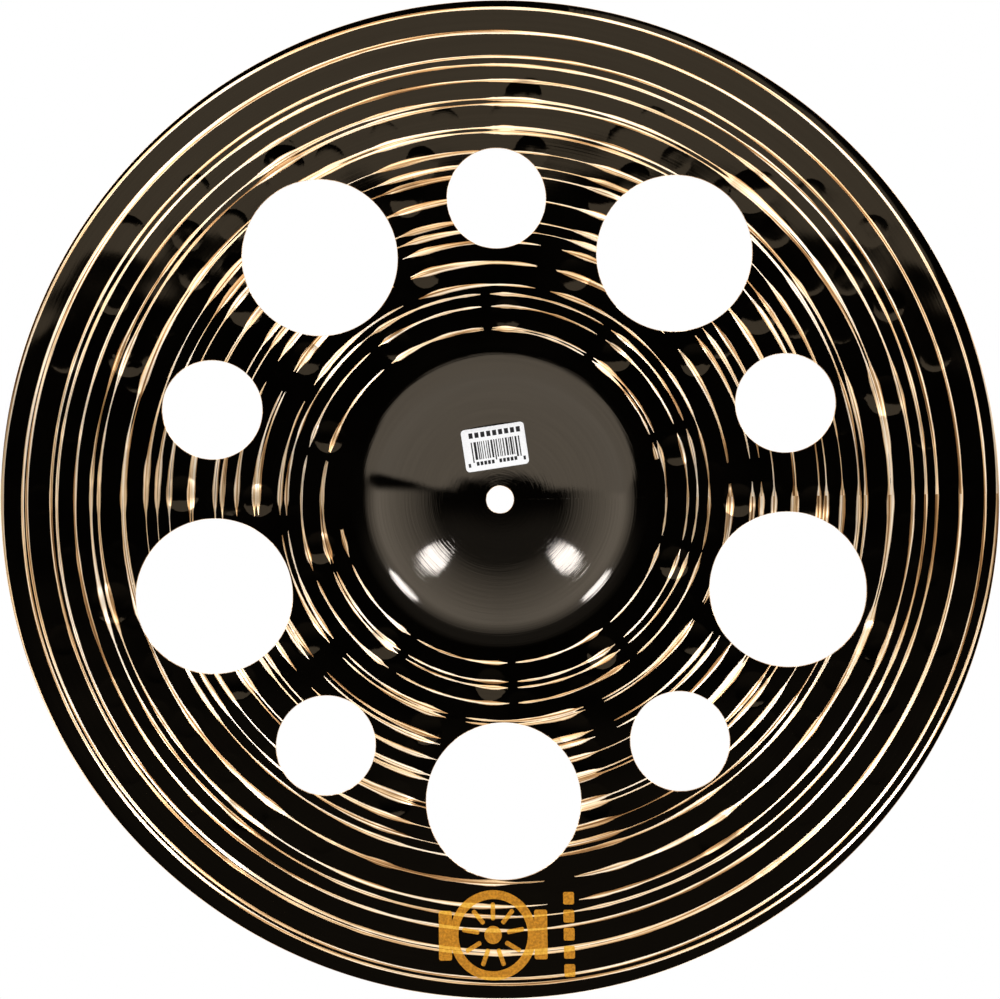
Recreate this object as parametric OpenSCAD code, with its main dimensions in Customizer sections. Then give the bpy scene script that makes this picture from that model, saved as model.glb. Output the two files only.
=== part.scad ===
// Crash cymbal, 18 inch, with ten round holes through the bow. Millimetres, +Z up, bell on top.
// The origin is on the axis of the stand hole, in the plane that the rim rests on.

/* [Plate] */
// Outer diameter of the plate
plate_d = 457.2; // [400:0.1:510]
// Height of the bow on the underside, from the rim plane to the foot of the bell
bow_rise = 27; // [20:0.5:34]
// Thickness around the stand hole
bell_t = 1.3; // [1:0.05:1.8]
// Thickness at the foot of the bell
foot_t = 1.15; // [0.9:0.05:1.6]
// Thickness at the rim
rim_t = 0.85; // [0.7:0.05:1.2]
// Width of the flat land that the rim rests on
land_w = 1.2; // [0.8:0.1:2]
// Height of the bevel on the rim's two corners
rim_bevel = 0.15; // [0.1:0.05:0.3]

/* [Bell] */
// Radius of the bell's round cap, on the underside
cap_r = 100; // [90:1:130]
// Distance from the axis at which the cap turns into the fold
cap_end = 57.5; // [50:0.5:62]
// Radius of the fold between the bell and the bow, on the underside
fold_r = 23; // [18:1:32]
// Diameter of the hole for the stand's sleeve
stand_hole_d = 13; // [12:0.1:16]

/* [Holes] */
// Holes of each size, evenly spaced
hole_count = 5; // [3:1:6]
// Distance from the axis to the middle of each hole
hole_pitch_r = 140; // [130:1:150]
// Diameter of the large holes
large_hole_d = 72; // [60:1:76]
// Diameter of the small holes
small_hole_d = 46; // [30:1:50]

/* [Barcode label] */
// Length of the label
label_w = 30; // [20:0.5:34]
// Height of the label
label_h = 20; // [12:0.5:22]
// Radius of the label's corners
label_corner = 1.8; // [1:0.1:3]
// Thickness of the label
label_t = 0.1; // [0.08:0.01:0.2]
// Distance of the label's middle from the axis, along X
label_x = 2.1; // [-6:0.1:6]
// Distance of the label's middle from the axis, along Y
label_y = 24.8; // [22:0.1:28]
// Turn of the label about +Z
label_turn = -8; // [-15:0.5:15]

/* [Printed emblem] */
// Diameter of the emblem's ring
emblem_d = 40; // [30:0.5:44]
// Width of the ring's band
emblem_band = 4; // [2:0.5:6]
// Rays inside the ring
emblem_rays = 9; // [5:1:12]
// Thickness of the ink
ink_t = 0.06; // [0.05:0.01:0.1]
// Distance of the ring's middle from the axis, along X
emblem_x = 5.6; // [0:0.1:12]
// Distance of the ring's middle from the axis, towards -Y
emblem_y = 200.5; // [199:0.1:202]

/* [Hidden] */
plate_r = plate_d / 2;
cap_angle = asin(cap_end / cap_r);             // steepest slope of the bell
foot_r = cap_end + fold_r * sin(cap_angle);    // where the fold ends and the bow starts
bow_span = plate_r - land_w - foot_r;
bow_r = (bow_span * bow_span + bow_rise * bow_rise) / (2 * bow_rise);
bow_angle = asin(bow_span / bow_r);            // slope of the bow at the rim
fold_z = bow_rise + fold_r;                    // middle of the fold's arc
cap_z = fold_z - (fold_r + cap_r) * cos(cap_angle);  // middle of the cap's arc
cap_steps = 14;
fold_steps = 7;
bow_steps = 26;
dash_count = 5;                                // short bars beside the ring
dash_x = 35;                                   // from the ring's middle to the bars
dash_w = 5;
dash_l = 5.6;
dash_pitch = 8;
wing_w = 6;                                    // bars at the ring's two sides
wing_l = 22;
round_fn = 96;

// Thickness at distance r from the axis.
function thickness(r) = r < foot_r
    ? bell_t + (foot_t - bell_t) * r / foot_r
    : foot_t + (rim_t - foot_t) * (r - foot_r) / (plate_r - foot_r);

// The underside from the axis to the rim's land, as [r, z, slope angle].
UNDERSIDE = concat(
    [for (i = [0 : cap_steps - 1]) let (a = cap_angle * i / cap_steps)
        [cap_r * sin(a), cap_z + cap_r * cos(a), a]],
    [for (i = [0 : fold_steps - 1]) let (a = cap_angle * (1 - i / fold_steps))
        [foot_r - fold_r * sin(a), fold_z - fold_r * cos(a), a]],
    [for (i = [0 : bow_steps]) let (a = bow_angle * i / bow_steps)
        [foot_r + bow_r * sin(a), bow_rise - bow_r + bow_r * cos(a), a]]
);

// The underside moved d along its own normal, outwards from the metal where d is negative.
function offset_underside(d) = [for (p = UNDERSIDE) [p[0] + d * sin(p[2]), p[1] + d * cos(p[2])]];

// The top of the plate, one thickness above the underside.
TOPSIDE = [for (p = UNDERSIDE) let (t = thickness(p[0]))
    [p[0] + t * sin(p[2]), p[1] + t * cos(p[2])]];

function reversed(list) = [for (i = [len(list) - 1 : -1 : 0]) list[i]];

// Half of the plate's cross-section, with the land and the bevelled rim.
module plate_section() {
    polygon(concat(
        [for (p = UNDERSIDE) [p[0], p[1]]],
        [[plate_r - rim_bevel, 0], [plate_r, rim_bevel],
         [plate_r, rim_t - rim_bevel], [plate_r - rim_bevel, rim_t]],
        reversed([for (p = TOPSIDE) if (p[0] < plate_r - 2 * rim_bevel) p])
    ));
}

// A skin of thickness t under the plate, face to face with it.
module underside_skin(t) {
    rotate_extrude($fn = round_fn)
        polygon(concat([for (p = UNDERSIDE) [p[0], p[1]]], reversed(offset_underside(-t))));
}

// One ring of round holes through the bow, the first at angle start.
module hole_ring(d, start) {
    for (i = [0 : hole_count - 1])
        rotate(start + i * 360 / hole_count)
            translate([hole_pitch_r, 0, -1])
                cylinder(d = d, h = bow_rise + 4, $fn = round_fn);
}

module cymbal_plate() {
    color([0.09, 0.08, 0.07])
        difference() {
            rotate_extrude($fn = round_fn) plate_section();
            translate([0, 0, bow_rise])
                cylinder(d = stand_hole_d, h = cap_r, $fn = round_fn);
            hole_ring(large_hole_d, -90);
            hole_ring(small_hole_d, 90);
        }
}

// Rectangle w by h with round corners of radius c, about the origin.
module rounded_plate(w, h, c) {
    union() {
        square([w - 2 * c, h], center = true);
        square([w, h - 2 * c], center = true);
        for (x = [-1, 1], y = [-1, 1])
            translate([x * (w / 2 - c), y * (h / 2 - c)]) circle(c, $fn = 32);
    }
}

module barcode_label() {
    color("white")
        intersection() {
            underside_skin(label_t);
            translate([label_x, label_y, bow_rise])
                rotate(label_turn)
                    linear_extrude(cap_r) rounded_plate(label_w, label_h, label_corner);
        }
}

// A ring with rays around a dot, a bar at each side, and a column of dashes.
module emblem_outline() {
    difference() {
        circle(d = emblem_d, $fn = round_fn);
        circle(d = emblem_d - 2 * emblem_band, $fn = round_fn);
    }
    circle(d = emblem_band * 2, $fn = 48);
    for (i = [0 : emblem_rays - 1])
        rotate(90 + i * 360 / emblem_rays)
            translate([emblem_d / 4 + 0.5, 0])
                rounded_plate(emblem_d / 5, emblem_band / 2, emblem_band / 5);
    for (side = [-1, 1])
        translate([side * (emblem_d + wing_w - 2) / 2, 0])
            rounded_plate(wing_w, wing_l, 1);
    for (i = [0 : dash_count - 1])
        translate([-dash_x, (i - (dash_count - 1) / 2) * dash_pitch])
            rounded_plate(dash_w, dash_l, 0.8);
}

module printed_emblem() {
    color([0.85, 0.58, 0.12])
        intersection() {
            underside_skin(ink_t);
            translate([emblem_x, -emblem_y, -1])
                linear_extrude(bow_rise) emblem_outline();
        }
}

cymbal_plate();
barcode_label();
printed_emblem();
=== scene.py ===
import math

import bpy
import numpy as np
from mathutils import Matrix, Vector
from mathutils.geometry import delaunay_2d_cdt


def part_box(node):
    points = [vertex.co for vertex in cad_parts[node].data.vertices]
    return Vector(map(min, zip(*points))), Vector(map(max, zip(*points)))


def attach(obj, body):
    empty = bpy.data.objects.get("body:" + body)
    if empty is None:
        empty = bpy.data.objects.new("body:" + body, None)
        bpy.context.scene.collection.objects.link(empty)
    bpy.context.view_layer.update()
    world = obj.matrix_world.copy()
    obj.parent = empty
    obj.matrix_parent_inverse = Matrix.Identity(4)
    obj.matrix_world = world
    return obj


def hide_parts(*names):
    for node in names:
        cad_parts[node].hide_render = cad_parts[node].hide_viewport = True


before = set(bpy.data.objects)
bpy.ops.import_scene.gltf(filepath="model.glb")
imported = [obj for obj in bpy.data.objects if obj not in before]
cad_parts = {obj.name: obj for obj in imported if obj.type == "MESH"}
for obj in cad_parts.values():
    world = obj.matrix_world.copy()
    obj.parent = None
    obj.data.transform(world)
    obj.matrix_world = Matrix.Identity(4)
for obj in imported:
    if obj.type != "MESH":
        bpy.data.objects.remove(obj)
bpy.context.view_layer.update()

# Shapes are worked out in millimetres and written to the meshes in metres.
MM = 0.001

# ---- The plate's section, as the CAD part has it ----
PLATE_LOW, PLATE_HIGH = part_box("cymbal_plate")
PLATE_R = (PLATE_HIGH.x - PLATE_LOW.x) / 2 / MM
BOW_RISE = 27.0
BELL_T, FOOT_T, RIM_T = 1.3, 1.15, 0.85
LAND_W = 1.2
RIM_BEVEL = 0.15
CAP_R, CAP_END, FOLD_R = 100.0, 57.5, 23.0
CAP_ANGLE = math.asin(CAP_END / CAP_R)
FOOT_R = CAP_END + FOLD_R * math.sin(CAP_ANGLE)
BOW_SPAN = PLATE_R - LAND_W - FOOT_R
BOW_R = (BOW_SPAN**2 + BOW_RISE**2) / (2 * BOW_RISE)
FOLD_Z = BOW_RISE + FOLD_R
CAP_Z = FOLD_Z - (FOLD_R + CAP_R) * math.cos(CAP_ANGLE)
# The bell's top is a little flatter than the CAD part's: lower by this much in the middle, and less and less
# between these two radii.
TOP_DROP = 0.35
TOP_FLAT = (4.0, 21.0)

# ---- Holes, as the CAD part has them: middle and radius ----
HOLE_COUNT = 5
HOLE_PITCH_R = 140.0
STAND_R, LARGE_R, SMALL_R = 6.5, 36.0, 23.0


def hole_ring(radius, start):
    """Middle and radius of each hole in one ring, the first at angle start."""
    angles = [math.radians(start + 360 * i / HOLE_COUNT) for i in range(HOLE_COUNT)]
    return [(HOLE_PITCH_R * math.cos(a), HOLE_PITCH_R * math.sin(a), radius) for a in angles]


HOLES = [(0.0, 0.0, STAND_R)] + hole_ring(LARGE_R, -90) + hole_ring(SMALL_R, 90)
HOLE_CHAMFER = 0.15

# ---- Turning ----
# The lathe angle runs against the plate's azimuth, and this is where it starts.
LATHE_ZERO = 180.7
NOSE_R = 7.0          # radius of the turning tool's nose
COAT_T = 0.03         # thickness of the black coat
BAND_STEPS = {1: 960, -1: 540}      # steps in one turn of a cut on the underside and on top
LEAST_CUT = 0.22      # a narrower cut doesn't go through the coat
CUT_REACH = 4.0       # a cut changes nothing further than this from its middle

# Each pass is a spiral: (turns, radius) where its pitch changes.
UNDER_PASSES = [
    [(-0.47, 75.1), (0, 77.6), (6, 137.6), (14, 222.5), (14.7, 230)],
    [(0.04, 75.6), (1, 92.1), (7, 181.2), (9.0, 211.6), (9.19, 213.9), (9.53, 219.5), (9.78, 222.7),
     (9.9, 225.4), (10.03, 228.4), (10.12, 230)],
]
TOP_PASSES = [
    [(-0.2, 76.5), (1, 86), (7, 146), (14, 224.5), (14.5, 230)],
    [(0.3, 77), (2, 104), (8, 197), (10.1, 230)],
]

# How wide a cut is over the 36 degrees that lead away from a heavy hammer mark: (degrees, width), for the
# zone next to the bell, the one with the holes, and the one outside them.
SWELL = 36.0
INNER_SWELL = [(0, 1.1), (1.2, 0.55), (2.6, 0.1), (3.2, 0), (4.2, 0), (6.4, 0.7), (9, 1.05), (13, 0.82),
               (16.5, 1.25), (19, 1.15), (23, 0.6), (27, 1.0), (31, 1.8), (33.4, 2.25), (34.8, 2.05),
               (36, 1.3)]
MIDDLE_SWELL = [(0, 1.5), (1.2, 0.7), (2.8, 0.15), (3.4, 0), (6.4, 0), (9.4, 0.75), (12, 0.95), (15, 0.7),
                (18, 0.75), (22, 1.25), (26, 1.75), (30, 2.3), (32.6, 2.65), (34.4, 2.4), (36, 1.5)]
OUTER_SWELL = [(0, 1.6), (1.0, 0.95), (2.0, 0.6), (5, 0.5), (9, 1.0), (13, 1.45), (17, 1.9), (18.3, 1.7),
               (19.7, 1.1), (24, 1.2), (28, 1.7), (32.5, 2.4), (34.6, 2.3), (36, 1.6)]
RIM_CUT = 1.25        # width of every cut by the rim
# The lathe angle where each zone's first swell starts, and how far swells differ in place and in width.
INNER_FIRST, MIDDLE_FIRST, OUTER_FIRST = 18.6, 1.6, 18.8
SWELL_SHIFT, SWELL_SPREAD = 0.7, 0.16
# Radii over which one zone's widths turn into the next one's.
TO_MIDDLE, TO_OUTER, TO_RIM = (96, 101), (164, 169), (198, 208)
# Among the holes a cut is never narrower than this, and a bit wider than that further in.
MIDDLE_LEAST, LEAST_FROM = 0.34, (122, 128)
MIDDLE_MORE, MORE_UNTIL = 0.28, (158, 150)
# Outside the holes the widths draw this much closer to the rim's.
OUTER_EVEN, EVEN_FROM = 0.55, (184, 196)
# Chatter of the tool: share of the width, waves in a turn, and degrees for each mm of radius.
CHATTER = [(0.05, 31, 9), (0.04, 67, -5)]
LIGHT_MARK = 0.19     # height under which a hammer mark is a light one
BEAD = 0.3            # how much wider a cut gets in the middle of a light mark
MISSED_X, MISSED_Y, MISSED_R = -26.5, -181.0, 16.0      # a low place where the turning tool barely cut
MISSED_CORE = 0.3     # the part of its radius where it didn't cut at all

# Rings of hammer marks: radius, marks in the ring, lathe angle of the first, mark's radius, height,
# and the part of its radius that is level.
MARK_RINGS = [
    (86.0, 10, 15.5, 7.4, 0.80, 0.0),
    (97.0, 20, 6.0, 7.5, 0.14, 0.3),
    (111.5, 10, 0.0, 7.6, 0.80, 0.0),
    (126.0, 10, 36.0, 8.0, 0.30, 0.1),
    (147.0, 10, 35.0, 8.2, 0.74, 0.0),
    (160.5, 20, 13.0, 7.5, 0.22, 0.3),
    (176.5, 40, 8.4, 7.0, 0.115, 0.45),
    (184.0, 10, 15.0, 9.5, 0.62, 0.1),
    (189.0, 20, 14.0, 7.0, 0.13, 0.45),
    (199.5, 20, 8.4, 7.0, 0.14, 0.5),
    (211.0, 20, 18.0, 7.0, 0.14, 0.5),
]
# How far a mark strays along its ring and across it, and the share by which its height differs.
STRAY_ALONG, STRAY_ACROSS, STRAY_HEIGHT = 0.9, 1.1, 0.25
# Slow waves that the hammering leaves all over: direction in degrees, length, height.
WAVES = [(20, 34, 0.045), (75, 27, 0.035), (140, 41, 0.05), (105, 22, 0.022), (165, 29, 0.03)]
WAVES_FROM = (72, 92)         # radii over which they start
FLAT_RIM = (0.8, 8.0)         # distances from the rim over which all of the hammering starts


def smooth(low, high, x):
    """0 before low, 1 past high, and an S between. low may be the larger of the two."""
    t = np.clip((x - low) / (high - low), 0, 1)
    return t * t * (3 - 2 * t)


def underside_z(r):
    """Height of the smooth underside at distance r from the axis."""
    r = np.asarray(r, float)
    cap = CAP_Z + np.sqrt(np.maximum(CAP_R**2 - r**2, 0)) - TOP_DROP * (1 - smooth(*TOP_FLAT, r))
    fold = FOLD_Z - np.sqrt(np.maximum(FOLD_R**2 - (FOOT_R - r) ** 2, 0))
    bow = BOW_RISE - BOW_R + np.sqrt(BOW_R**2 - (r - FOOT_R) ** 2)
    return np.where(r <= CAP_END, cap, np.where(r <= FOOT_R, fold, np.maximum(bow, 0)))


def upright_thickness(r):
    """Thickness of the plate along Z at distance r from the axis."""
    r = np.asarray(r, float)
    inner = BELL_T + (FOOT_T - BELL_T) * r / FOOT_R
    outer = FOOT_T + (RIM_T - FOOT_T) * (r - FOOT_R) / (PLATE_R - FOOT_R)
    step = 0.05
    slope = (underside_z(r + step) - underside_z(r - step)) / (2 * step)
    slope = np.where(r > PLATE_R - 2 * LAND_W, 0, slope)
    return np.where(r < FOOT_R, inner, outer) * np.sqrt(1 + slope**2)


def lathe_angle(x, y):
    return LATHE_ZERO - np.degrees(np.arctan2(y, x))


def hammer_marks():
    """Every hammer mark: its middle, radius, height, and level part."""
    marks = []
    for seed, (ring_r, count, first, size, height, level) in enumerate(MARK_RINGS):
        wobble = np.random.default_rng(seed).uniform(-1, 1, (count, 3))
        for number, (along, across, force) in enumerate(wobble):
            a = math.radians(LATHE_ZERO - first - number * 360 / count) - STRAY_ALONG * along / ring_r
            r = ring_r + STRAY_ACROSS * across
            marks.append((r * math.cos(a), r * math.sin(a), size, height * (1 + STRAY_HEIGHT * force), level))
    return marks


MARKS = hammer_marks()


def hammer_relief(xy):
    """How far the hammer has pushed the plate down at each point."""
    r = np.hypot(xy[:, 0], xy[:, 1])
    relief = np.zeros(len(xy))
    for azimuth, length, height in WAVES:
        a = math.radians(azimuth)
        relief += height * np.sin((xy @ (math.cos(a), math.sin(a))) * 2 * math.pi / length + azimuth)
    relief *= smooth(*WAVES_FROM, r)
    for x, y, size, height, level in MARKS:
        near = np.nonzero((np.abs(xy[:, 0] - x) < size) & (np.abs(xy[:, 1] - y) < size))[0]
        d = np.hypot(xy[near, 0] - x, xy[near, 1] - y) / size
        rise = np.clip((d - level) / (1 - level), 0, 1)
        relief[near] += height * (1 - rise**2)
    return relief * smooth(*FLAT_RIM, PLATE_R - r)


def swell(q, first, curve, seed):
    """Width of a cut along lathe angle q, where the plate rises to a mark and drops behind it."""
    count = round(360 / SWELL)
    number = np.floor((q - first) / SWELL).astype(int)
    shift, spread = np.random.default_rng(seed).uniform(-1, 1, (count, 2))[number % count].T
    u = np.mod(q - first, SWELL)
    u = u + SWELL_SHIFT * shift * np.sin(u / SWELL * np.pi)
    at, width = np.array(curve).T
    return np.interp(u, at, width) * (1 + SWELL_SPREAD * spread)


def light_mark(x, y):
    """1 in the middle of a light hammer mark, which stands proud of the plate, and 0 outside them all."""
    marks = np.array([mark[:3] for mark in MARKS if mark[3] < LIGHT_MARK])
    away = ((x[:, None] - marks[:, 0]) ** 2 + (y[:, None] - marks[:, 1]) ** 2) / marks[:, 2] ** 2
    return np.maximum(1 - away.min(1), 0)


def cut_width(r, q):
    """Width of a turned cut at radius r and lathe angle q."""
    inner = swell(q, INNER_FIRST, INNER_SWELL, 21)
    middle = swell(q, MIDDLE_FIRST, MIDDLE_SWELL, 22)
    least = (MIDDLE_LEAST + MIDDLE_MORE * smooth(*MORE_UNTIL, r)) * smooth(*LEAST_FROM, r)
    middle = np.maximum(middle, least)
    outer = swell(q, OUTER_FIRST, OUTER_SWELL, 23)
    outer = outer + (RIM_CUT - outer) * OUTER_EVEN * smooth(*EVEN_FROM, r)
    width = inner + (middle - inner) * smooth(*TO_MIDDLE, r)
    width = width + (outer - width) * smooth(*TO_OUTER, r)
    width = width + (RIM_CUT - width) * smooth(*TO_RIM, r)
    a = np.radians(LATHE_ZERO - q)
    x, y = r * np.cos(a), r * np.sin(a)
    width = width * (1 + BEAD * light_mark(x, y))
    width = width * smooth(MISSED_CORE, 1, np.hypot(x - MISSED_X, y - MISSED_Y) / MISSED_R)
    chatter = sum(share * np.sin(np.radians(waves * q + twist * r)) for share, waves, twist in CHATTER)
    width = width * (1 + chatter)
    return np.where(width < LEAST_CUT, 0, width)


def pass_radius(knots, turns):
    """Radius of a pass after a number of turns."""
    at, radius = np.array(knots).T
    return np.interp(turns, at, radius)


def cut_depth(passes, r, q):
    """Depth of the deepest cut at radius r and lathe angle q, the distance to the nearest cut's side, and
    where across that cut the point lies, from -1 to 1 inside it."""
    depth = np.zeros_like(r)
    across = np.zeros_like(r)
    clear = np.full_like(r, np.inf)
    part_turn = np.mod(q / 360, 1)
    for knots in passes:
        first, last = knots[0][0], knots[-1][0]
        for turn in range(math.floor(first), math.ceil(last) + 1):
            turns = part_turn + turn
            middle = pass_radius(knots, turns)
            away = np.abs(r - middle)
            near = np.nonzero((turns >= first) & (turns <= last) & (away < CUT_REACH))[0]
            half = cut_width(middle[near], q[near]) / 2
            near, half = near[half > 0], half[half > 0]
            depth[near] = np.maximum(depth[near], (half**2 - away[near] ** 2) / (2 * NOSE_R))
            nearest = away[near] - half < clear[near]
            near, half = near[nearest], half[nearest]
            clear[near] = away[near] - half
            across[near] = (r[near] - middle[near]) / half
    return depth, clear, across


# ---- Flat layout of one face: every line that a colour or an edge follows is a line of the mesh ----
HOLE_SEGMENTS = {STAND_R: 48, LARGE_R: 120, SMALL_R: 84}
RIM_SEGMENTS = 720
BAND_ROWS = (-1, -0.4, 0.4, 1)      # rows of mesh points along a cut, over half of its width
HIDDEN_IN_HOLE, PAST_RIM = 3.0, 1.5  # a cut's rows run this far into a hole and past the rim
BELL_RINGS_END, BELL_RING_STEP = 73.5, 1.1
BELL_TOP_R, BELL_TOP_SEGMENTS, BELL_SEGMENTS = 20.0, 72, 216
RING_START = BELL_RINGS_END + 0.6
RING_STEP, RING_GAP = 2.2, 2.4      # between rings of plain points on the bow, and between points in a ring
MARK_ROWS = (0.5, 0.75, 0.92, 1.0, 1.08)      # rows of mesh points in and about each mark, over its radius
MARK_GAP = 1.4        # between points in such a row
CUT_CLEAR, EDGE_CLEAR = 0.35, 0.5   # plain points keep this far from a cut's side, and from the rim and holes
ON_EDGE = 0.1         # a point this near the rim's line or a hole's lies on it
WELD = 1e-5           # points nearer each other than this are one


class Layout:
    """Points, lines and cells for one constrained triangulation."""

    def __init__(self):
        self.points, self.edges, self.cells = [], [], []
        self.count = 0

    def add(self, xy):
        """Adds points, and gives their numbers."""
        xy = np.asarray(xy, float).reshape(-1, 2)
        ids = np.arange(self.count, self.count + len(xy))
        self.points.append(xy)
        self.count += len(xy)
        return ids

    def loop(self, xy):
        """Adds a closed line."""
        ids = self.add(xy).tolist()
        self.edges += list(zip(ids, ids[1:] + ids[:1]))

    def solve(self):
        """All points, the triangles between them, and whether each triangle lies in a cell."""
        points = [Vector(p) for p in np.concatenate(self.points).tolist()]
        out = delaunay_2d_cdt(points, self.edges, self.cells, 0, WELD, True)
        xy = np.array([tuple(v) for v in out[0]])
        tris = np.array(out[2])
        in_cell = np.array([len(ids) > 0 for ids in out[5]])
        return xy, tris, in_cell


def circle_points(x, y, radius, segments):
    """A circle's points, anticlockwise from its right."""
    a = np.arange(segments) * 2 * math.pi / segments
    return np.stack([x + radius * np.cos(a), y + radius * np.sin(a)], 1)


def inside_circle(xy, x, y, radius, segments):
    """True where a point lies inside the circle's own polygon."""
    d = xy - (x, y)
    wedge = 2 * math.pi / segments
    turn = np.mod(np.arctan2(d[:, 1], d[:, 0]), wedge) - wedge / 2
    return np.hypot(d[:, 0], d[:, 1]) < radius * math.cos(wedge / 2) / np.cos(turn)


def face_layout(passes, side, loops=()):
    """The flat mesh of one face: points, triangles, and which of them lie in a cut. side is 1 where the lathe
    angle runs on as it is, and -1 where it is mirrored."""
    layout = Layout()
    edge_r = PLATE_R - RIM_BEVEL
    layout.loop(circle_points(0, 0, edge_r, RIM_SEGMENTS))
    for x, y, radius in HOLES:
        layout.loop(circle_points(x, y, radius + HOLE_CHAMFER, HOLE_SEGMENTS[radius]))
    for outline in loops:
        layout.loop(outline)

    # the sides and inner rows of every turned cut
    for knots in passes:
        turns = np.arange(knots[0][0], knots[-1][0], 1 / BAND_STEPS[side])
        q = turns * 360
        middle = pass_radius(knots, turns)
        width = cut_width(middle, q)
        a = np.radians(LATHE_ZERO - q) * side
        hidden = np.zeros(len(turns), bool)
        for x, y, radius in HOLES:
            hidden |= np.hypot(middle * np.cos(a) - x, middle * np.sin(a) - y) < radius - HIDDEN_IN_HOLE
        live = (width > 0) & ~hidden & (middle < PLATE_R + PAST_RIM)
        rows = [np.stack([(middle + s * width / 2) * np.cos(a), (middle + s * width / 2) * np.sin(a)], 1)
                for s in BAND_ROWS]
        ids = np.full((len(BAND_ROWS), len(turns)), -1)
        for n, row in enumerate(rows):
            ids[n, live] = layout.add(row[live])
        step = np.nonzero(live[:-1] & live[1:])[0]
        for n in range(len(BAND_ROWS) - 1):
            quads = np.stack([ids[n, step], ids[n + 1, step], ids[n + 1, step + 1], ids[n, step + 1]], 1)
            if side > 0:
                quads = quads[:, ::-1]
            layout.cells += quads.tolist()

    # the bell in whole rings, so that its reflections stay round, and plain points over the bow
    for radius in np.arange(STAND_R + 1, BELL_RINGS_END, BELL_RING_STEP):
        segments = BELL_TOP_SEGMENTS if radius < BELL_TOP_R else BELL_SEGMENTS
        layout.loop(circle_points(0, 0, radius, segments))
    radii = np.arange(RING_START, edge_r - EDGE_CLEAR, RING_STEP)
    grid = []
    for n, radius in enumerate(radii):
        count = int(2 * math.pi * radius / RING_GAP)
        a = (np.arange(count) + 0.5 * (n % 2)) * 2 * math.pi / count
        grid.append(np.stack([radius * np.cos(a), radius * np.sin(a)], 1))
    for x, y, size, height, level in MARKS:
        for row in MARK_ROWS:
            grid.append(circle_points(x, y, size * row, int(2 * math.pi * size * row / MARK_GAP)))
    grid = np.concatenate(grid)
    r = np.hypot(grid[:, 0], grid[:, 1])
    q = LATHE_ZERO - np.degrees(np.arctan2(grid[:, 1], grid[:, 0])) * side
    keep = (cut_depth(passes, r, q)[1] > CUT_CLEAR) & (r < edge_r - EDGE_CLEAR)
    for x, y, radius in HOLES:
        keep &= np.hypot(grid[:, 0] - x, grid[:, 1] - y) > radius + HOLE_CHAMFER + EDGE_CLEAR
    layout.add(grid[keep])

    xy, tris, in_cell = layout.solve()
    middle = xy[tris].mean(1)
    keep = inside_circle(middle, 0, 0, edge_r, RIM_SEGMENTS)
    for x, y, radius in HOLES:
        keep &= ~inside_circle(middle, x, y, radius + HOLE_CHAMFER, HOLE_SEGMENTS[radius])
    return compact(xy, tris[keep], in_cell[keep])


def compact(points, tris, *labels):
    """The same triangles with only the points that they use."""
    used, new = np.unique(tris, return_inverse=True)
    return (points[used], new.reshape(tris.shape), *labels)


def border(tris):
    """The directed edges that only one triangle has."""
    edges = np.concatenate([tris[:, [0, 1]], tris[:, [1, 2]], tris[:, [2, 0]]])
    key = np.sort(edges, 1)
    _, first, count = np.unique(key, axis=0, return_index=True, return_counts=True)
    return edges[first[count == 1]]


def rim_loops(xy, tris):
    """For the rim and each hole, the border's point numbers in order of angle about its middle."""
    ids = np.unique(border(tris))
    loops = []
    for x, y, radius in [(0.0, 0.0, PLATE_R - RIM_BEVEL - HOLE_CHAMFER)] + HOLES:
        d = xy[ids] - (x, y)
        on = np.abs(np.hypot(d[:, 0], d[:, 1]) - radius - HOLE_CHAMFER) < ON_EDGE
        angle = np.mod(np.arctan2(d[on, 1], d[on, 0]), 2 * math.pi)
        order = np.argsort(angle)
        loops.append((ids[on][order], angle[order]))
    return loops


def zip_loops(a_ids, a_angle, b_ids, b_angle):
    """Triangles between two rings of points about the same middle."""
    next_a, next_b = (np.append(angle[1:], (angle[0] + 2 * math.pi, np.inf)) for angle in (a_angle, b_angle))
    tris = []
    i = j = 0
    while i < len(a_ids) or j < len(b_ids):
        a, b = a_ids[i % len(a_ids)], b_ids[j % len(b_ids)]
        if next_a[i] <= next_b[j]:
            tris.append((a, a_ids[(i + 1) % len(a_ids)], b))
            i += 1
        else:
            tris.append((a, b_ids[(j + 1) % len(b_ids)], b))
            j += 1
    return tris


# ---- From numbers to Blender ----
SMOOTH_ANGLE = math.radians(38)


def make_object(name, points, faces, materials, slots=None):
    """A smooth-shaded piece from points in millimetres."""
    mesh = bpy.data.meshes.new(name)
    mesh.from_pydata((np.asarray(points) * MM).tolist(), [], np.asarray(faces).tolist())
    for material in materials:
        mesh.materials.append(material)
    if slots is not None:
        mesh.polygons.foreach_set("material_index", np.asarray(slots, np.int32))
    mesh.shade_smooth()
    mesh.set_sharp_from_angle(angle=SMOOTH_ANGLE)
    mesh.validate()
    piece = bpy.data.objects.new(name, mesh)
    bpy.context.scene.collection.objects.link(piece)
    return piece


def keep_edges_sharp(mesh, part):
    """Shades every edge between two different parts of a mesh as a crisp one."""
    loop_edge = np.zeros(len(mesh.loops), np.int32)
    mesh.loops.foreach_get("edge_index", loop_edge)
    loop_part = np.repeat(part, 3)
    low, high = np.full(len(mesh.edges), 99), np.full(len(mesh.edges), -1)
    np.minimum.at(low, loop_edge, loop_part)
    np.maximum.at(high, loop_edge, loop_part)
    sharp = np.zeros(len(mesh.edges), bool)
    mesh.attributes["sharp_edge"].data.foreach_get("value", sharp)
    mesh.attributes["sharp_edge"].data.foreach_set("value", sharp | (low != high))


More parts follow.
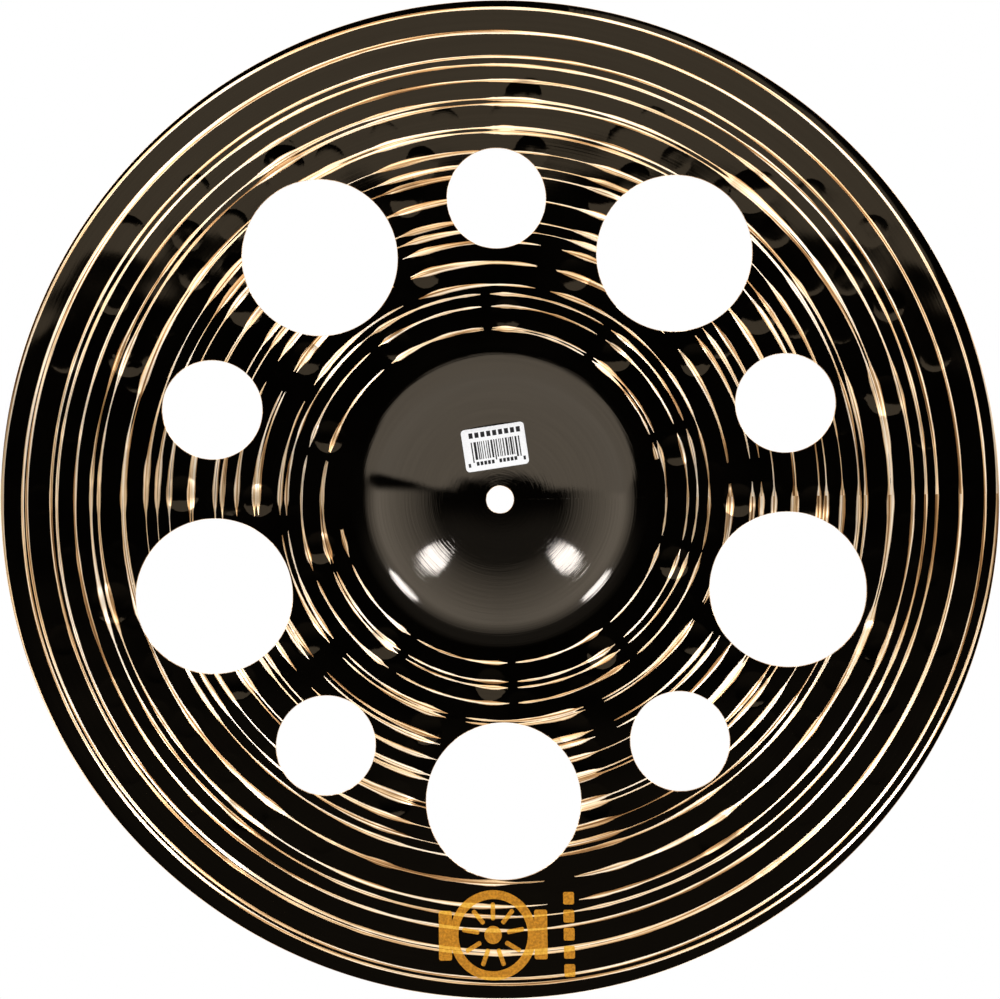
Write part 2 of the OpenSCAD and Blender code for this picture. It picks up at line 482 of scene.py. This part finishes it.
def film(name, points, tris, lift, materials, slots=None):
    """A thin skin lifted off a surface, with its sides turned down to that surface."""
    points, tris = compact(points, tris)
    rim = border(tris)
    ids, new = np.unique(rim, return_inverse=True)
    new = new.reshape(rim.shape) + len(points)
    raised = points + (0, 0, lift)
    walls = np.concatenate([np.stack([rim[:, 1], rim[:, 0], new[:, 0]], 1),
                            np.stack([rim[:, 1], new[:, 0], new[:, 1]], 1)])
    if slots is not None:
        slots = np.concatenate([slots, np.zeros(len(walls), int)])
    return make_object(name, np.concatenate([raised, points[ids]]), np.concatenate([tris, walls]),
                       materials, slots)


# ---- Materials ----
def new_material(name, **inputs):
    """A material with a Principled shader, and its constant inputs set by name."""
    material = bpy.data.materials.new(name)
    material.use_nodes = True
    shader = material.node_tree.nodes["Principled BSDF"]
    for key, value in inputs.items():
        shader.inputs[key.replace("_", " ")].default_value = value
    return material, material.node_tree, shader


def add_node(tree, kind, *sources, **settings):
    """A node with settings, whose first inputs take links or numbers in order."""
    made = tree.nodes.new(kind)
    for key, value in settings.items():
        setattr(made, key, value)
    for socket, source in zip(made.inputs, sources):
        if isinstance(source, bpy.types.NodeSocket):
            tree.links.new(source, socket)
        elif source is not None:
            socket.default_value = source
    return made


def math_node(tree, operation, *sources):
    return add_node(tree, "ShaderNodeMath", *sources, operation=operation).outputs[0]


def wire(tree, shader, **sources):
    """Links sources to the shader's inputs of those names."""
    for key, source in sources.items():
        tree.links.new(source, shader.inputs[key.replace("_", " ")])


def remap(tree, factor, start, end, low=0.0, high=1.0, shape="SMOOTHSTEP"):
    """low where factor is start, high where it is end, and an S between, or a straight line if LINEAR."""
    made = add_node(tree, "ShaderNodeMapRange", factor, interpolation_type=shape)
    for key, value in (("From Min", start), ("From Max", end), ("To Min", low), ("To Max", high)):
        made.inputs[key].default_value = value
    return made.outputs[0]


def spread(tree, factor, low, high):
    """factor from 0 to 1 turned into a number from low to high."""
    return remap(tree, factor, 0.0, 1.0, low, high, "LINEAR")


def ramp(tree, factor, *stops):
    """A colour from factor, by (factor, colour) stops."""
    made = add_node(tree, "ShaderNodeValToRGB", factor)
    band = made.color_ramp
    while len(band.elements) < len(stops):
        band.elements.new(0.5)
    for element, (at, colour) in zip(band.elements, stops):
        element.position = at
        element.color = (*colour, 1)
    return made.outputs["Color"]


def mixed(tree, factor, first, second):
    """One colour turned into another; second is a constant."""
    made = add_node(tree, "ShaderNodeMix", data_type="RGBA")
    tree.links.new(factor, made.inputs["Factor"])
    tree.links.new(first, made.inputs[6])
    made.inputs[7].default_value = (*second, 1)
    return made.outputs[2]


def noise(tree, place, scale, detail):
    made = add_node(tree, "ShaderNodeTexNoise", place)
    made.inputs["Scale"].default_value = scale
    made.inputs["Detail"].default_value = detail
    return made.outputs[0]


def bump(tree, shader, height, depth, strength=1.0):
    made = add_node(tree, "ShaderNodeBump")
    made.inputs["Strength"].default_value = strength
    made.inputs["Distance"].default_value = depth
    tree.links.new(height, made.inputs["Height"])
    wire(tree, shader, Normal=made.outputs[0])


def object_place(tree):
    return add_node(tree, "ShaderNodeTexCoord").outputs["Object"]


def turned_place(tree, place):
    """Distance from the axis in metres, and angle about it, of the point being shaded."""
    parts = add_node(tree, "ShaderNodeSeparateXYZ", place).outputs
    flat = add_node(tree, "ShaderNodeCombineXYZ", parts[0], parts[1], 0.0).outputs[0]
    radius = add_node(tree, "ShaderNodeVectorMath", flat, operation="LENGTH").outputs["Value"]
    return radius, math_node(tree, "ARCTAN2", parts[1], parts[0])


def streaks(tree, radius, angle, per_metre, per_radian, detail=2.0):
    """Noise drawn out along the way the plate turned."""
    across = math_node(tree, "MULTIPLY", radius, per_metre)
    along = math_node(tree, "MULTIPLY", angle, per_radian)
    spot = add_node(tree, "ShaderNodeCombineXYZ", across, along, 0.0).outputs[0]
    return noise(tree, spot, scale=1.0, detail=detail)


# Bronze: the colour at each level of its streaks, and the brown of painted shade at the sides of the cuts,
# also used for a darker line along the middle of some cuts.
BRONZE_STOPS = [(0.34, (0.16, 0.075, 0.028)), (0.42, (0.50, 0.275, 0.115)), (0.48, (0.87, 0.62, 0.35)),
                (0.60, (1.0, 0.86, 0.68))]
CUT_SHADE_AND_LINE_BROWN, SHADE_AND_LINE_SHARE = (0.24, 0.115, 0.04), 0.8
# Places across half a cut where the painted shade at its side, or the darker line along its middle, starts
# and is full.
BRONZE_SIDE_SHADE, BRONZE_MIDDLE_LINE = (0.6, 1.0), (0.26, 0.08)
BRONZE_ROUGH = (0.27, 0.40)
TOOL_LINE_DEPTH = 0.00008
# The black coat: the least and most of its cloudy colour, its roughness, and how its lines vary its tint.
COAT_DARK, COAT_PALE = (0.0006, 0.00045, 0.0003), (0.0013, 0.0010, 0.0007)
COAT_ROUGH = (0.04, 0.09)
COAT_SHARES = (0.94, 1.04)
# Ink and paper: the ink's roughness, how far the paper's varies, and the depth of the grain.
INK_ROUGH = (0.34, 0.5)
PAPER_ROUGH_SPAN = 0.12
GRAIN_DEPTH = 0.00002


def turned_bronze():
    """Bare cast bronze: fine lines of the turning tool spread its shine across them, each cut has painted
    shade in brown towards its sides, and some cuts are darker along the middle."""
    material, tree, shader = new_material("turned_bronze", Metallic=1.0, Anisotropic=0.9,
                                          Anisotropic_Rotation=0.25)
    radius, angle = turned_place(tree, object_place(tree))
    fine = streaks(tree, radius, angle, per_metre=2400, per_radian=3.0)
    broad = streaks(tree, radius, angle, per_metre=1000, per_radian=1.8, detail=1.0)
    both = math_node(tree, "ADD", math_node(tree, "MULTIPLY", fine, 0.25),
                     math_node(tree, "MULTIPLY", broad, 0.75))
    across = add_node(tree, "ShaderNodeAttribute", attribute_name="across").outputs["Fac"]
    across = math_node(tree, "ABSOLUTE", across)
    # Painted shade: a cut's sides are darkened brown, standing in for the shading of its hollow section.
    side = remap(tree, across, *BRONZE_SIDE_SHADE)
    lined_cuts = remap(tree, streaks(tree, radius, angle, per_metre=90, per_radian=1.6), 0.46, 0.54)
    middle_line = math_node(tree, "MULTIPLY", remap(tree, across, *BRONZE_MIDDLE_LINE), lined_cuts)
    side_shade_and_line = math_node(tree, "MULTIPLY", math_node(tree, "MAXIMUM", side, middle_line), SHADE_AND_LINE_SHARE)
    wire(tree, shader, Base_Color=mixed(tree, side_shade_and_line, ramp(tree, both, *BRONZE_STOPS), CUT_SHADE_AND_LINE_BROWN),
         Roughness=spread(tree, fine, *BRONZE_ROUGH),
         Tangent=add_node(tree, "ShaderNodeTangent", direction_type="RADIAL", axis="Z").outputs[0])
    bump(tree, shader, both, TOOL_LINE_DEPTH)
    return material


def black_coat(name, tint, line_depth):
    """Glossy black coat over faint turning lines."""
    material, tree, shader = new_material(name, IOR=1.5)
    place = object_place(tree)
    radius, angle = turned_place(tree, place)
    lines = streaks(tree, radius, angle, per_metre=1300, per_radian=1.0, detail=3.0)
    fine = streaks(tree, radius, angle, per_metre=3600, per_radian=2.0, detail=1.0)
    low, high = ([min(share * part, 1.0) for part in tint] for share in COAT_SHARES)
    cloud = noise(tree, place, scale=26.0, detail=3.0)
    wire(tree, shader, Specular_Tint=ramp(tree, lines, (0.36, low), (0.62, high)),
         Base_Color=ramp(tree, cloud, (0.35, COAT_DARK), (0.65, COAT_PALE)),
         Roughness=spread(tree, cloud, *COAT_ROUGH))
    both = math_node(tree, "ADD", lines, math_node(tree, "MULTIPLY", fine, 0.35))
    bump(tree, shader, both, line_depth)
    return material


def print_ink(name, low, high):
    """Screen-print ink, a little uneven."""
    material, tree, shader = new_material(name, Specular_IOR_Level=0.08)
    grain = noise(tree, object_place(tree), scale=900.0, detail=4.0)
    wire(tree, shader, Base_Color=ramp(tree, grain, (0.35, low), (0.65, high)),
         Roughness=spread(tree, grain, *INK_ROUGH))
    bump(tree, shader, grain, GRAIN_DEPTH, strength=0.2)
    return material


def label_paper(name, low, high, rough, shine):
    """Smooth label stock, or the black printed on it."""
    material, tree, shader = new_material(name, Specular_IOR_Level=shine)
    fibre = noise(tree, object_place(tree), scale=1500.0, detail=5.0)
    wire(tree, shader, Base_Color=ramp(tree, fibre, (0.3, low), (0.7, high)),
         Roughness=spread(tree, fibre, rough, rough + PAPER_ROUGH_SPAN))
    bump(tree, shader, fibre, GRAIN_DEPTH, strength=0.15)
    return material


BRONZE = turned_bronze()
# One black lacquer in three copies that differ in how strongly they reflect: the bell's underside reflects
# about twice as much as the bow's, which paints a brightening into the bell's reflections and highlights.
BOW_COAT = black_coat("black_coat_bow", (0.33, 0.262, 0.18), 0.000008)
BELL_COAT = black_coat("black_coat_bell", (0.64, 0.545, 0.43), 0.00004)
TOP_BLACK = black_coat("black_coat_top", (1.0, 0.9, 0.8), 0.000015)
INK = print_ink("ink_on_coat", (0.40, 0.155, 0.003), (0.66, 0.27, 0.009))
INK_BRIGHT = print_ink("ink_on_bronze", (0.76, 0.36, 0.025), (0.93, 0.52, 0.06))
PAPER = label_paper("label_paper", (0.84, 0.835, 0.84), (0.92, 0.915, 0.92), rough=0.5, shine=0.3)
LABEL_BLACK = label_paper("label_black", (0.006, 0.006, 0.007), (0.014, 0.013, 0.014), rough=0.6, shine=0.1)

# ---- The emblem's outline, as the CAD part has it ----
EMBLEM_X, EMBLEM_Y = 5.6, -200.5
EMBLEM_D, EMBLEM_BAND, EMBLEM_RAYS = 40.0, 4.0, 9
EMBLEM_SEGMENTS = 96
RAY_L, RAY_W, RAY_CORNER = EMBLEM_D / 5, EMBLEM_BAND / 2, EMBLEM_BAND / 5
RAY_MIDDLE_R = EMBLEM_D / 4 + 0.5
WING_W, WING_L, WING_CORNER = 6.0, 22.0, 1.0
WING_X = (EMBLEM_D + WING_W) / 2 - 1
DASH_X, DASH_W, DASH_L, DASH_CORNER, DASH_PITCH, DASH_COUNT = 35.0, 5.0, 5.6, 0.8, 8.0, 5
INK_T = 0.02          # thickness of the ink, over that of the coat


def rounded_outline(w, h, corner, steps=6):
    """A rectangle with round corners, anticlockwise about the origin."""
    points = []
    for n, (x, y) in enumerate(((1, 1), (-1, 1), (-1, -1), (1, -1))):
        middle_x, middle_y = x * (w / 2 - corner), y * (h / 2 - corner)
        for i in range(steps + 1):
            a = (n + i / steps) * math.pi / 2
            points.append((middle_x + corner * math.cos(a), middle_y + corner * math.sin(a)))
    return np.array(points)


def placed(outline, x, y, turn=0.0):
    """An outline turned by degrees about the origin, and then moved."""
    c, s = math.cos(math.radians(turn)), math.sin(math.radians(turn))
    return outline @ np.array([[c, s], [-s, c]]) + (x, y)


def emblem_outlines():
    """The ring's two circles first, then every solid shape."""
    x, y = EMBLEM_X, EMBLEM_Y
    shapes = [circle_points(x, y, EMBLEM_D / 2, EMBLEM_SEGMENTS),
              circle_points(x, y, EMBLEM_D / 2 - EMBLEM_BAND, EMBLEM_SEGMENTS),
              circle_points(x, y, EMBLEM_BAND, EMBLEM_SEGMENTS // 2)]
    ray = placed(rounded_outline(RAY_L, RAY_W, RAY_CORNER), RAY_MIDDLE_R, 0)
    shapes += [placed(ray, x, y, 90 + i * 360 / EMBLEM_RAYS) for i in range(EMBLEM_RAYS)]
    wing = rounded_outline(WING_W, WING_L, WING_CORNER)
    shapes += [placed(wing, x + side * WING_X, y) for side in (-1, 1)]
    dash = rounded_outline(DASH_W, DASH_L, DASH_CORNER)
    first_y = y - (DASH_COUNT - 1) / 2 * DASH_PITCH
    shapes += [placed(dash, x - DASH_X, first_y + i * DASH_PITCH) for i in range(DASH_COUNT)]
    return shapes


def inside(xy, outline):
    """True where a point lies inside the outline."""
    result = np.zeros(len(xy), bool)
    near = np.all((xy > outline.min(0)) & (xy < outline.max(0)), axis=1)
    p = xy[near]
    hit = np.zeros(len(p), bool)
    for (x0, y0), (x1, y1) in zip(outline, np.roll(outline, -1, 0)):
        if y0 != y1:
            crosses = (y0 > p[:, 1]) != (y1 > p[:, 1])
            hit ^= crosses & (p[:, 0] < (x1 - x0) * (p[:, 1] - y0) / (y1 - y0) + x0)
    result[near] = hit
    return result


# ---- The plate ----
# The bell's copy of the coat, with its painted brighter reflections, covers the underside inside this radius.
BELL_COAT_R = 69.0    # inside this radius the underside has the bell's coat
EMBLEM = emblem_outlines()
under_xy, under_tris, under_cut = face_layout(UNDER_PASSES, 1, EMBLEM)
top_xy, top_tris, top_cut = face_layout(TOP_PASSES, -1)


def under_height(xy):
    """Height of the underside, and where across its cut each point lies."""
    r, q = np.hypot(xy[:, 0], xy[:, 1]), lathe_angle(xy[:, 0], xy[:, 1])
    depth, _, across = cut_depth(UNDER_PASSES, r, q)
    return underside_z(r) - hammer_relief(xy) + depth, across


def top_height(xy):
    """The same for the top, whose cuts are mirrored, and whose dents are the same ones."""
    r = np.hypot(xy[:, 0], xy[:, 1])
    mirrored = LATHE_ZERO + np.degrees(np.arctan2(xy[:, 1], xy[:, 0]))
    depth, _, across = cut_depth(TOP_PASSES, r, mirrored)
    return underside_z(r) + upright_thickness(r) - hammer_relief(xy) - depth, across


def with_height(xy, z):
    return np.concatenate([xy, z[:, None]], 1)


under_z, under_across = under_height(under_xy)
top_z, top_across = top_height(top_xy)
under_points = with_height(under_xy, under_z)
top_points = with_height(top_xy, top_z)
under_faces = under_tris[:, ::-1]


def plate_metal():
    """The whole plate as one closed body, from both faces, the hole walls and the rim: its points, its
    triangles, where across its cut each point lies, and each triangle's part: 0 coated, 1 cut, 2 wall."""
    points = [under_points, top_points]
    faces = [under_faces, top_tris + len(under_points)]
    count = len(under_points) + len(top_points)
    walls = []
    under_loops, top_loops = rim_loops(under_xy, under_tris), rim_loops(top_xy, top_tris)
    places = [(0.0, 0.0, PLATE_R)] + HOLES
    for place, under_loop, top_loop in zip(places, under_loops, top_loops):
        x, y, radius = place
        segments = RIM_SEGMENTS if radius == PLATE_R else HOLE_SEGMENTS[radius]
        xy = circle_points(x, y, radius, segments)
        angle = np.arange(segments) * 2 * math.pi / segments
        low = count + np.arange(segments)
        high = low + segments
        points.append(with_height(xy, under_height(xy)[0] + RIM_BEVEL))
        points.append(with_height(xy, top_height(xy)[0] - RIM_BEVEL))
        count += 2 * segments
        low_next, high_next = np.roll(low, -1), np.roll(high, -1)
        walls += zip_loops(*under_loop, low, angle)
        walls += np.stack([low, low_next, high], 1).tolist()
        walls += np.stack([low_next, high_next, high], 1).tolist()
        walls += zip_loops(high, angle, top_loop[0] + len(under_points), top_loop[1])
    faces.append(np.array(walls))
    across = np.zeros(count)
    across[:len(under_z) + len(top_z)] = np.concatenate([under_across, top_across])
    part = np.concatenate([under_cut, top_cut, np.full(len(walls), 2)])
    return np.concatenate(points), np.concatenate(faces), across, part


metal_points, metal_faces, metal_across, metal_part = plate_metal()
metal = make_object("bronze_plate", metal_points, metal_faces, [BRONZE])
keep_edges_sharp(metal.data, metal_part)
metal.data.attributes.new("across", "FLOAT", "POINT").data.foreach_set("value", metal_across)
under_middle = under_xy[under_tris].mean(1)
under_bell = np.hypot(*under_middle.T) < BELL_COAT_R
under_coat = film("underside_coat", under_points, under_faces[~under_cut], -COAT_T, [BOW_COAT, BELL_COAT],
                  under_bell[~under_cut].astype(int))
top_coat = film("top_coat", top_points, top_tris[~top_cut], COAT_T, [TOP_BLACK])
inked = inside(under_middle, EMBLEM[0]) & ~inside(under_middle, EMBLEM[1])
for outline in EMBLEM[2:]:
    inked |= inside(under_middle, outline)
emblem = film("emblem_print", under_points, under_faces[inked], -COAT_T - INK_T, [INK, INK_BRIGHT],
              under_cut[inked].astype(int))

# ---- The label ----
LABEL_X, LABEL_Y, LABEL_TURN = 2.1, 24.8, -8.0
LABEL_W, LABEL_H, LABEL_CORNER = 30.0, 20.0, 1.8
LABEL_T, LABEL_INK_T = 0.1, 0.01
LABEL_STEP = 1.0      # between the sheet's mesh points, which keep this far from its edge
LABEL_SHRINK = (0.995, 0.99)  # and are drawn in a touch further
CURL_W, CURL = 4.0, 0.006     # the corners lift off over this width, by this much for each square millimetre
# The block of upright bars: where bars start, up to where, the block's middle and height, and its draws.
BARS_START, BARS_END, BARS_Y, BARS_H = -12.0, 11.6, -0.5, 8.4
BAR_WIDTHS, BAR_SHARES, BAR_GAPS = [0.42, 0.6, 0.9, 1.2], [0.45, 0.25, 0.2, 0.1], [0.36, 0.5, 0.7]
# How much longer the bars are that start left of, right of, or about the middle within these.
LONG_BAR, LONG_LEFT, LONG_RIGHT, LONG_MIDDLE = 1.2, -10.6, 10.2, 0.7
# Rows of plain dashes: the middles' X, their Y, and a dash's width and height.
DASH_ROWS = [(np.linspace(-12.0, 10.6, 9), 6.8, 1.9, 2.5), ((-13.2, 13.0), -7.0, 1.1, 1.8),
             (np.linspace(-9, -1.8, 5), -6.6, 1.3, 1.8), (np.linspace(1.8, 9, 5), -6.6, 1.3, 1.8)]
BAR_CELL = 0.8        # size of the mesh cells in a bar or dash


def label_height(local, lift):
    """Points of the label in the plate's frame, a given distance under the coat."""
    xy = placed(local, LABEL_X, LABEL_Y, LABEL_TURN)
    r = np.hypot(xy[:, 0], xy[:, 1])
    beyond = np.maximum(np.abs(local) - (LABEL_W / 2 - CURL_W, LABEL_H / 2 - CURL_W), 0)
    curl = np.hypot(*beyond.T)
    return with_height(xy, underside_z(r) - COAT_T - lift - CURL * curl**2)


def label_sheet():
    """The label as a closed sheet that follows the bell."""
    layout = Layout()
    layout.loop(rounded_outline(LABEL_W, LABEL_H, LABEL_CORNER, 8))
    columns, rows = round(LABEL_W / LABEL_STEP) - 1, round(LABEL_H / LABEL_STEP) - 1
    half_w, half_h = LABEL_W / 2 - LABEL_STEP, LABEL_H / 2 - LABEL_STEP
    gx, gy = np.meshgrid(np.linspace(-half_w, half_w, columns), np.linspace(-half_h, half_h, rows))
    layout.add(np.stack([gx.ravel(), gy.ravel()], 1) * LABEL_SHRINK)
    local, tris, _ = layout.solve()
    rim = border(tris)
    count = len(local)
    walls = [(b, a, a + count) for a, b in rim] + [(b, a + count, b + count) for a, b in rim]
    points = np.concatenate([label_height(local, 0), label_height(local, LABEL_T)])
    return points, np.concatenate([tris, tris[:, ::-1] + count, np.array(walls)])


def label_bars():
    """Plain printed bars: a block of upright bars, and rows of dashes over it and under it."""
    shapes = []
    draws = np.random.default_rng(7)
    x = BARS_START
    while x < BARS_END:
        width = draws.choice(BAR_WIDTHS, p=BAR_SHARES)
        drop = LONG_BAR if x < LONG_LEFT or x > LONG_RIGHT or abs(x) < LONG_MIDDLE else 0
        shapes.append((x + width / 2, BARS_Y - drop / 2, width, BARS_H + drop))
        x += width + draws.choice(BAR_GAPS)
    shapes += [(x, y, w, h) for row, y, w, h in DASH_ROWS for x in row]
    points, faces = [], []
    for x, y, w, h in shapes:
        rows = max(2, int(h / BAR_CELL)) + 1
        columns = max(1, int(w / BAR_CELL)) + 1
        xs, ys = np.linspace(x - w / 2, x + w / 2, columns + 1), np.linspace(y - h / 2, y + h / 2, rows)
        gx, gy = np.meshgrid(xs, ys)
        start = sum(len(p) for p in points)
        points.append(label_height(np.stack([gx.ravel(), gy.ravel()], 1), LABEL_T + LABEL_INK_T))
        for i in range(rows - 1):
            for j in range(columns):
                a = start + i * (columns + 1) + j
                faces.append((a, a + columns + 1, a + columns + 2, a + 1))
    return np.concatenate(points), faces


label = make_object("label_sheet", *label_sheet(), [PAPER])
bars = make_object("label_bars", *label_bars(), [LABEL_BLACK])

for piece in (metal, under_coat, top_coat, emblem, label, bars):
    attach(piece, "root")
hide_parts("cymbal_plate")
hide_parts("printed_emblem")
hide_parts("barcode_label")

# ---- Camera: straight below the plate, looking up, with about +Y up in the view ----
CAMERA_Z = -1.446
FOCAL_RATIO = 3.158     # focal length over the width of the view
SENSOR_W = 36.0
UP_AZIMUTH = LATHE_ZERO - 90


def unit(azimuth):
    return Vector((math.cos(math.radians(azimuth)), math.sin(math.radians(azimuth)), 0))


camera_data = bpy.data.cameras.new("camera")
camera_data.sensor_width = SENSOR_W
camera_data.lens = FOCAL_RATIO * SENSOR_W
camera_data.clip_start = 0.01
camera = bpy.data.objects.new("camera", camera_data)
right, up = unit(UP_AZIMUTH + 90), unit(UP_AZIMUTH)
turn = Matrix((right, up, right.cross(up))).transposed()
camera.matrix_world = Matrix.Translation((0, 0, CAMERA_Z)) @ turn.to_4x4()
bpy.context.scene.collection.objects.link(camera)
bpy.context.scene.camera = camera

# ---- Lights: the same pair of softboxes below the plate and above it ----
LAMP_DISTANCE = 1.3
LAMP_W, LAMP_H = 0.30, 0.36
LAMP_TILT = 47.7        # angle of each lamp from the axis
LAMP_SPREAD = 48.2      # angle of each lamp from the view's upward direction
LAMP_COLOUR = (0.9, 0.98, 1.16)
BELOW_WATTS, ABOVE_WATTS = 12.5, 3.0
FILL_ABOVE, FILL_BELOW = 3.1, 3.45
FILL_ANGLE = math.radians(120)
ROOM_COLOUR = (1.0, 0.97, 0.93, 1)


def area_light(name, size, watts):
    """A softbox that isn't seen itself."""
    data = bpy.data.lights.new(name, "AREA")
    data.shape = "ELLIPSE"
    data.size, data.size_y = size
    data.energy = watts
    data.color = LAMP_COLOUR
    lamp = bpy.data.objects.new(name, data)
    lamp.visible_camera = False
    lamp.visible_diffuse = False
    bpy.context.scene.collection.objects.link(lamp)
    return lamp


def aim(lamp, place, across, back):
    """Puts a light at place, with its width along across and its back towards back."""
    turn = Matrix((across, back.cross(across), back)).transposed()
    lamp.matrix_world = Matrix.Translation(place) @ turn.to_4x4()


def soft_fill(name, down, strength):
    """Very soft light from straight above or below, for matt surfaces alone."""
    data = bpy.data.lights.new(name, "SUN")
    data.energy = strength
    data.angle = FILL_ANGLE
    lamp = bpy.data.objects.new(name, data)
    lamp.rotation_euler.x = 0 if down else math.pi
    lamp.visible_glossy = False
    bpy.context.scene.collection.objects.link(lamp)


# Softboxes, the card and the room show only as reflections, and the fills light what is matt.
for level, where, watts in ((-1, "below", BELOW_WATTS), (1, "above", ABOVE_WATTS)):
    for side, hand in ((-1, "right"), (1, "left")):
        azimuth = UP_AZIMUTH + side * LAMP_SPREAD
        way = unit(azimuth) * math.sin(math.radians(LAMP_TILT))
        way.z = level * math.cos(math.radians(LAMP_TILT))
        lamp = area_light("softbox_%s_%s" % (where, hand), (LAMP_W, LAMP_H), watts)
        aim(lamp, way * LAMP_DISTANCE, unit(azimuth + 90), way)
soft_fill("fill_above", True, FILL_ABOVE)
soft_fill("fill_below", False, FILL_BELOW)

# A big grey card level with the camera, below it in the view. These are the corners of its upper edge, right
# and up from the axis: it dips below the camera, and falls away to the right.
CARD_EDGE = [(-5.0, -0.165), (-0.72, -0.165), (-0.58, -0.23), (-0.44, -0.265), (-0.25, -0.275),
             (-0.1, -0.255), (0.1, -0.23), (0.26, -0.22), (0.4, -0.26), (0.46, -0.285), (0.58, -0.23),
             (0.72, -0.165), (1.0, -0.165), (1.63, -0.34), (2.39, -0.50), (5.0, -1.1)]
CARD_FOOT = -6.0
CARD_GLOW = 3.0


def grey_card():
    """The card as a glowing sheet, for reflections alone."""
    material = bpy.data.materials.new("card_glow")
    material.use_nodes = True
    tree = material.node_tree
    tree.nodes.clear()
    glow = add_node(tree, "ShaderNodeEmission", ROOM_COLOUR, CARD_GLOW)
    add_node(tree, "ShaderNodeOutputMaterial", glow.outputs[0])
    outline = CARD_EDGE + [(5.0, CARD_FOOT), (-5.0, CARD_FOOT)]
    mesh = bpy.data.meshes.new("grey_card")
    mesh.from_pydata([right * x + up * y for x, y in outline], [], [range(len(outline))])
    mesh.materials.append(material)
    card = bpy.data.objects.new("grey_card", mesh)
    card.location.z = CAMERA_Z
    card.visible_camera = False
    card.visible_diffuse = False
    bpy.context.scene.collection.objects.link(card)
    return card


card = grey_card()


# ---- World: white behind the plate, and in reflections a room that is dark about the camera ----
# The room below the plate, by how steep a direction is: none where its Z is over the first, and full where it
# is under the second. It is brighter to the sides, and stops on the side of the card.
ROOM_EDGE, ROOM_CURVE, ROOM_LEVEL = (0.815, 0.39), 0.58, 3.0
ROOM_SIDES = 0.32
ROOM_CARD_SIDE = (-0.12, -0.06)
# On the side away from the card it has at least this level, which starts and is full at these Y.
ROOM_FAR, ROOM_FAR_LEVEL = (0.0, 0.3), 0.27
# The room above the plate: its level overhead and near the horizon, and the Z over which it takes over.
SKY_EDGE, SKY_OVERHEAD, SKY_HORIZON = (1.0, 0.1), 0.35, 1.3
SKY_FROM = (-0.22, 0.05)
ROOM_LEAST = 0.01


def studio_world():
    """White to the camera, and the room's shades to everything else."""
    world = bpy.data.worlds.new("studio")
    world.use_nodes = True
    tree = world.node_tree
    tree.nodes.clear()
    way = add_node(tree, "ShaderNodeTexCoord").outputs["Generated"]
    x, y, z = add_node(tree, "ShaderNodeSeparateXYZ", way).outputs
    steep = math_node(tree, "ABSOLUTE", z)
    around = remap(tree, steep, *ROOM_EDGE, shape="LINEAR")
    around = math_node(tree, "MULTIPLY", math_node(tree, "POWER", around, ROOM_CURVE), ROOM_LEVEL)
    sideways = math_node(tree, "MULTIPLY_ADD", math_node(tree, "ABSOLUTE", x), ROOM_SIDES, 1.0)
    around = math_node(tree, "MULTIPLY", around, sideways)
    around = math_node(tree, "MULTIPLY", around, remap(tree, y, *ROOM_CARD_SIDE))
    below = math_node(tree, "MAXIMUM", around, remap(tree, y, *ROOM_FAR, 0.0, ROOM_FAR_LEVEL))
    above = remap(tree, steep, *SKY_EDGE, SKY_OVERHEAD, SKY_HORIZON)
    is_above = remap(tree, z, *SKY_FROM)
    is_below = math_node(tree, "SUBTRACT", 1.0, is_above)
    level = math_node(tree, "ADD", math_node(tree, "MULTIPLY", is_above, above),
                      math_node(tree, "MULTIPLY", is_below, below))
    level = math_node(tree, "ADD", level, ROOM_LEAST)
    room = add_node(tree, "ShaderNodeBackground", ROOM_COLOUR, level)
    white = add_node(tree, "ShaderNodeBackground", (1, 1, 1, 1), 1.0)
    seen = add_node(tree, "ShaderNodeLightPath").outputs["Is Camera Ray"]
    mix = add_node(tree, "ShaderNodeMixShader", seen, room.outputs[0], white.outputs[0])
    add_node(tree, "ShaderNodeOutputWorld", mix.outputs[0])
    return world


bpy.context.scene.world = studio_world()
bpy.context.scene.world.cycles_visibility.diffuse = False


# ---- Floor: pale from above, and clear from below and to light, so the plate can be seen from under it ----
FLOOR_HALF, FLOOR_Z = 6.0, -0.0002
FLOOR_COLOUR = (0.82, 0.81, 0.79, 1)


def pale_floor():
    """Paint where the camera looks down on the floor, and nothing otherwise."""
    material = bpy.data.materials.new("pale_floor")
    material.use_nodes = True
    tree = material.node_tree
    tree.nodes.clear()
    paint = add_node(tree, "ShaderNodeBsdfDiffuse", FLOOR_COLOUR)
    clear = add_node(tree, "ShaderNodeBsdfTransparent")
    back = add_node(tree, "ShaderNodeNewGeometry").outputs["Backfacing"]
    seen = add_node(tree, "ShaderNodeLightPath").outputs["Is Camera Ray"]
    front = math_node(tree, "SUBTRACT", 1.0, back)
    solid = math_node(tree, "MULTIPLY", seen, front)
    mix = add_node(tree, "ShaderNodeMixShader", solid, clear.outputs[0], paint.outputs[0])
    add_node(tree, "ShaderNodeOutputMaterial", mix.outputs[0])
    return material


floor_mesh = bpy.data.meshes.new("floor")
floor_corners = [(x * FLOOR_HALF, y * FLOOR_HALF, FLOOR_Z) for x, y in ((-1, -1), (1, -1), (1, 1), (-1, 1))]
floor_mesh.from_pydata(floor_corners, [], [(0, 1, 2, 3)])
floor_mesh.materials.append(pale_floor())
floor = bpy.data.objects.new("floor", floor_mesh)
bpy.context.scene.collection.objects.link(floor)

bpy.context.scene.view_settings.view_transform = "Standard"
